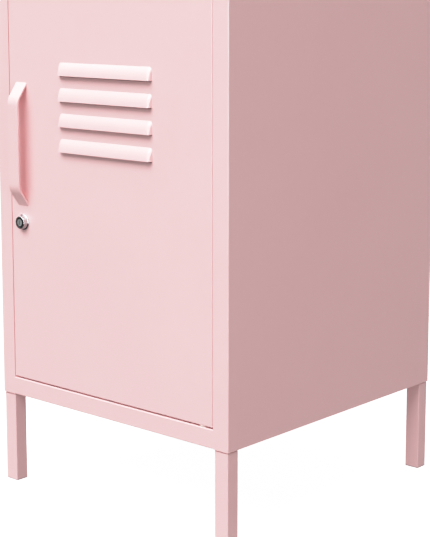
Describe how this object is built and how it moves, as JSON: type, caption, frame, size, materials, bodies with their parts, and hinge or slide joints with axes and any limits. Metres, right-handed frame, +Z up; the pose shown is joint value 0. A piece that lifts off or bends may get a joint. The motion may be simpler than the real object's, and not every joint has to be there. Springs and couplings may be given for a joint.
{
  "type": "locker cabinet",
  "caption": "Steel locker cabinet on four straight legs, with a hinged louvred door, bow handle, cam lock and inner shelf.",
  "frame": {"origin": "on the floor, under the centre of the object's box, handle included", "axes": "+Z up, the door faces -Y, +X to the right of a person facing the door"},
  "size_m": [0.38, 0.4152, 0.645],
  "materials": {
    "powder_coat": "satin",
    "zinc": "satin",
    "lock_chrome": "polished",
    "lock_plug_metal": "satin",
    "nylon": "matte",
    "foot_plastic": "matte",
    "bumper_rubber": "matte"
  },
  "bodies": {
    "root": {"left_side_panel": "powder_coat", "right_side_panel": "powder_coat", "bottom_panel": "powder_coat", "back_panel": "powder_coat", "top_panel": "powder_coat", "top_panel_screws": "zinc", "shelf": "powder_coat", "shelf_brackets": "powder_coat", "leg_front_left": "powder_coat", "leg_front_right": "powder_coat", "leg_back_left": "powder_coat", "leg_back_right": "powder_coat", "foot_cap_front_left": "foot_plastic", "foot_cap_front_right": "foot_plastic", "foot_cap_back_left": "foot_plastic", "foot_cap_back_right": "foot_plastic", "leg_bolts": "zinc", "leg_nuts": "zinc", "hinge_pin_bottom": "zinc", "hinge_pin_top": "zinc", "door_bumpers": "bumper_rubber"},
    "door": {"door_panel": "powder_coat", "handle": "powder_coat", "hinge_bush_bottom": "nylon", "hinge_bush_top": "nylon", "lock_body": "lock_chrome", "lock_washer": "zinc", "lock_nut": "zinc"},
    "lock_rotor": {"lock_plug": "lock_plug_metal", "lock_cam": "zinc", "lock_cam_screw": "zinc"}
  },
  "joints": [
    {"name": "door_hinge", "type": "hinge", "parent": "root", "child": "door", "pos_m": [0.1495, -0.1864, 0.377], "axis": [0, 0, 1], "range_deg": [0, 110]},
    {"name": "lock_turn", "type": "hinge", "parent": "door", "child": "lock_rotor", "pos_m": [-0.145, -0.1784, 0.3385], "axis": [0, 1, 0], "range_deg": [0, 90]}
  ]
}
